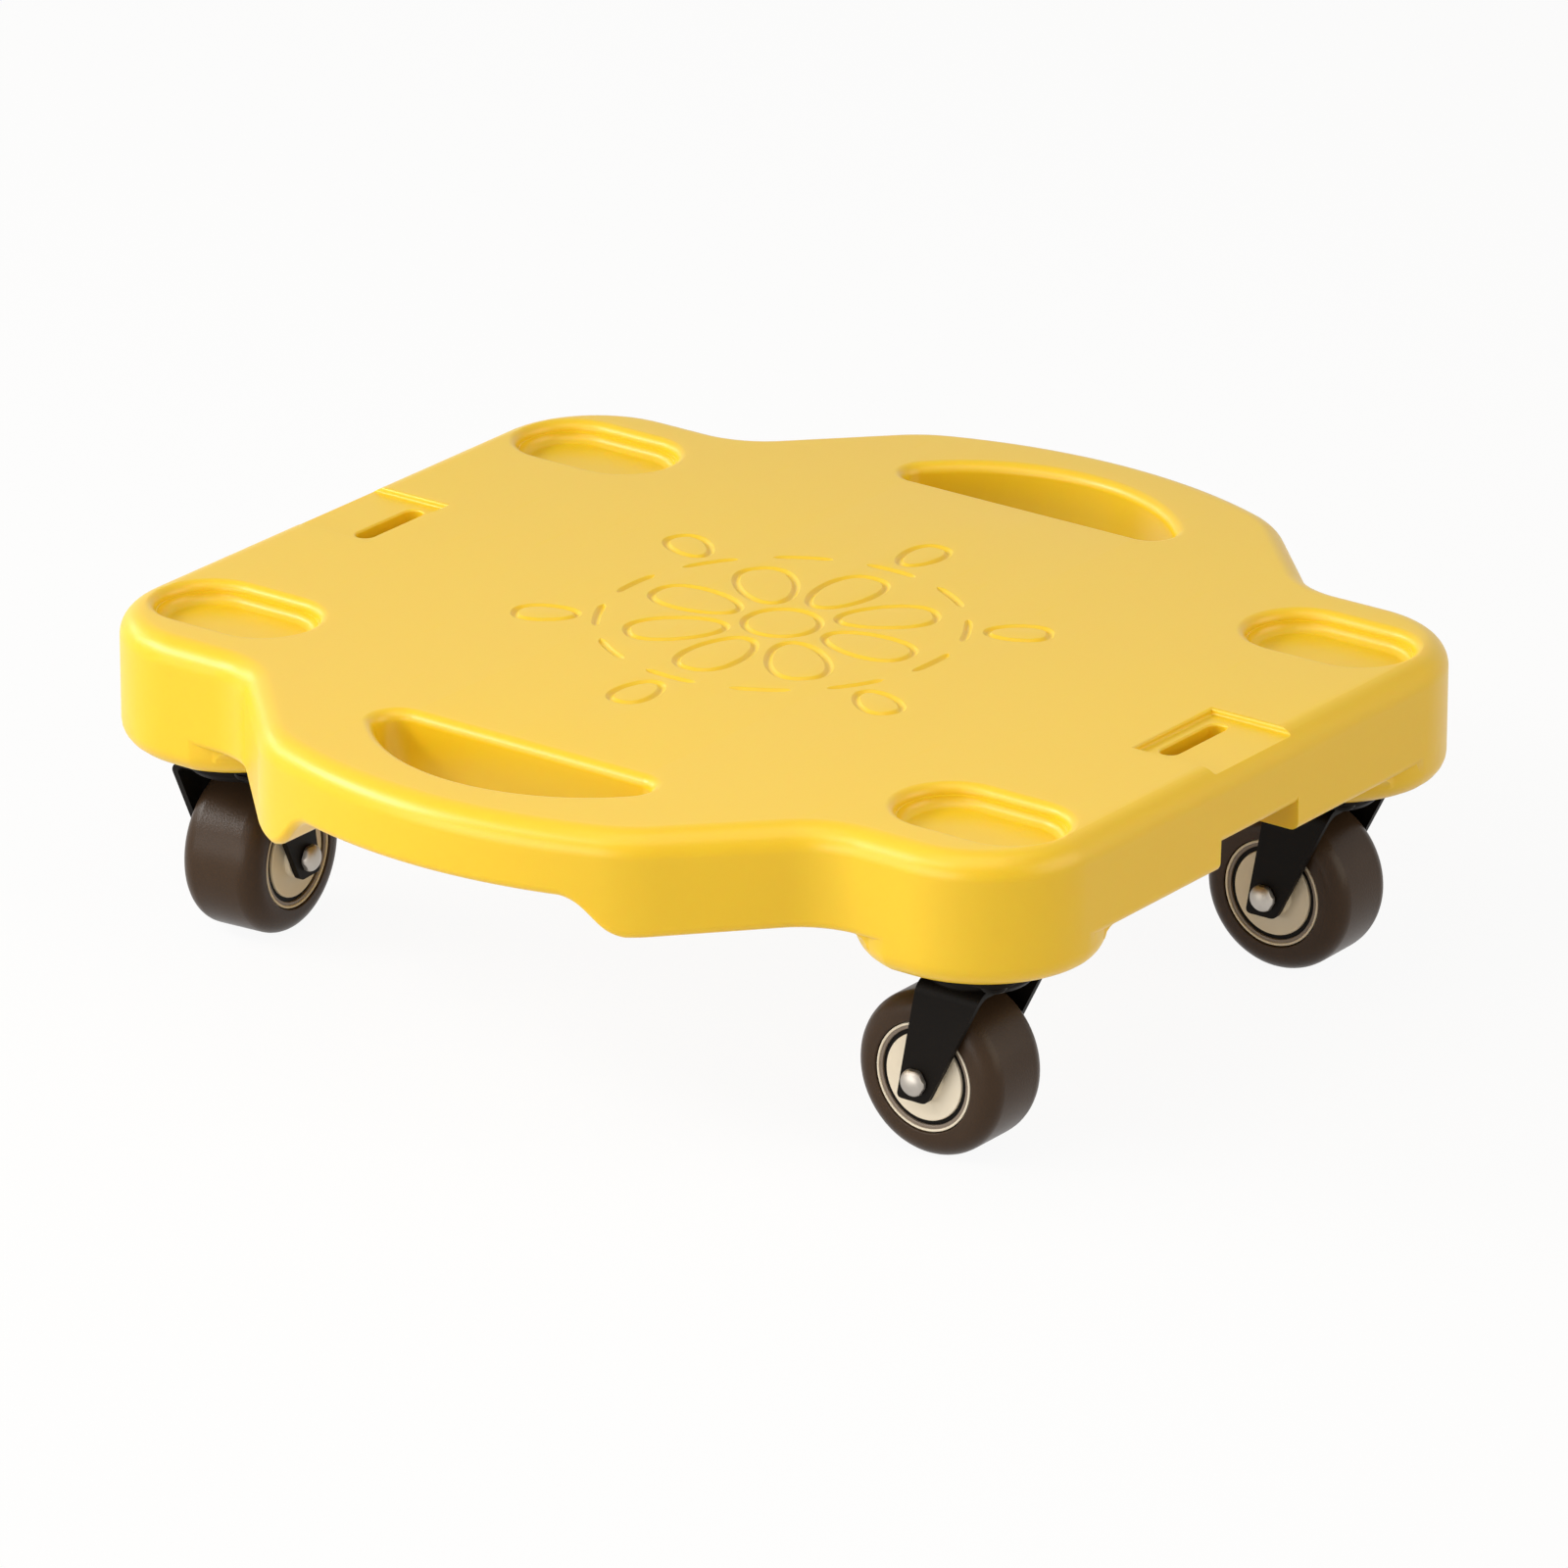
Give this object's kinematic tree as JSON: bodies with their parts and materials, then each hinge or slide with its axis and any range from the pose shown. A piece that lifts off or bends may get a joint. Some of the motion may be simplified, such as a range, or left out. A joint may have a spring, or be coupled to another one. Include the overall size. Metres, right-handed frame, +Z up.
{
  "type": "scooter board",
  "caption": "Low moulded plastic scooter board with hand slots in bulged sides, corner trays, cord slots and swivel casters.",
  "frame": {"origin": "on the floor, under the middle of the deck", "axes": "+X towards one hand slot, +Y towards one cord slot, +Z up, out of the deck's top"},
  "size_m": [0.3594, 0.35, 0.1063],
  "materials": {
    "deck_plastic": "smooth yellow moulded polyethylene with a soft shine",
    "black_steel": "black coated pressed steel",
    "zinc_steel": "bright zinc-plated steel",
    "wheel_core": "pale beige moulded plastic",
    "tyre_rubber": "dark brown-grey soft rubber"
  },
  "bodies": {
    "board": {"deck": "deck_plastic", "caster_plate_1": "black_steel", "ball_race_1": "zinc_steel", "kingpin_1": "black_steel", "plate_screw_1_1": "black_steel", "plate_screw_1_2": "black_steel", "plate_screw_1_3": "black_steel", "plate_screw_1_4": "black_steel", "caster_plate_2": "black_steel", "ball_race_2": "zinc_steel", "kingpin_2": "black_steel", "plate_screw_2_1": "black_steel", "plate_screw_2_2": "black_steel", "plate_screw_2_3": "black_steel", "plate_screw_2_4": "black_steel", "caster_plate_3": "black_steel", "ball_race_3": "zinc_steel", "kingpin_3": "black_steel", "plate_screw_3_1": "black_steel", "plate_screw_3_2": "black_steel", "plate_screw_3_3": "black_steel", "plate_screw_3_4": "black_steel", "caster_plate_4": "black_steel", "ball_race_4": "zinc_steel", "kingpin_4": "black_steel", "plate_screw_4_1": "black_steel", "plate_screw_4_2": "black_steel", "plate_screw_4_3": "black_steel", "plate_screw_4_4": "black_steel"},
    "swivel_1": {"fork_1": "black_steel", "axle_bolt_1": "zinc_steel", "axle_nut_1": "zinc_steel", "axle_bush_1": "zinc_steel"},
    "wheel_1": {"hub_1": "wheel_core", "tyre_1": "tyre_rubber"},
    "swivel_2": {"fork_2": "black_steel", "axle_bolt_2": "zinc_steel", "axle_nut_2": "zinc_steel", "axle_bush_2": "zinc_steel"},
    "wheel_2": {"hub_2": "wheel_core", "tyre_2": "tyre_rubber"},
    "swivel_3": {"fork_3": "black_steel", "axle_bolt_3": "zinc_steel", "axle_nut_3": "zinc_steel", "axle_bush_3": "zinc_steel"},
    "wheel_3": {"hub_3": "wheel_core", "tyre_3": "tyre_rubber"},
    "swivel_4": {"fork_4": "black_steel", "axle_bolt_4": "zinc_steel", "axle_nut_4": "zinc_steel", "axle_bush_4": "zinc_steel"},
    "wheel_4": {"hub_4": "wheel_core", "tyre_4": "tyre_rubber"}
  },
  "joints": [
    {"name": "swivel_turn_1", "type": "hinge", "parent": "board", "child": "swivel_1", "pos_m": [-0.0889, -0.1386, 0.06], "axis": [0, 0, 1], "continuous": true},
    {"name": "wheel_spin_1", "type": "hinge", "parent": "swivel_1", "child": "wheel_1", "pos_m": [-0.0889, -0.1279, 0.0254], "axis": [-1, 0, 0], "continuous": true},
    {"name": "swivel_turn_2", "type": "hinge", "parent": "board", "child": "swivel_2", "pos_m": [0.0889, -0.1386, 0.06], "axis": [0, 0, 1], "continuous": true},
    {"name": "wheel_spin_2", "type": "hinge", "parent": "swivel_2", "child": "wheel_2", "pos_m": [0.08871, -0.1279, 0.0254], "axis": [-0.9998, -0.0175, 0], "continuous": true},
    {"name": "swivel_turn_3", "type": "hinge", "parent": "board", "child": "swivel_3", "pos_m": [0.0889, 0.1386, 0.06], "axis": [0, 0, 1], "continuous": true},
    {"name": "wheel_spin_3", "type": "hinge", "parent": "swivel_3", "child": "wheel_3", "pos_m": [0.07823, 0.13935, 0.0254], "axis": [-0.0698, -0.9976, 0], "continuous": true},
    {"name": "swivel_turn_4", "type": "hinge", "parent": "board", "child": "swivel_4", "pos_m": [-0.0889, 0.1386, 0.06], "axis": [0, 0, 1], "continuous": true},
    {"name": "wheel_spin_4", "type": "hinge", "parent": "swivel_4", "child": "wheel_4", "pos_m": [-0.07824, 0.13953, 0.0254], "axis": [-0.0872, 0.9962, 0], "continuous": true}
  ]
}
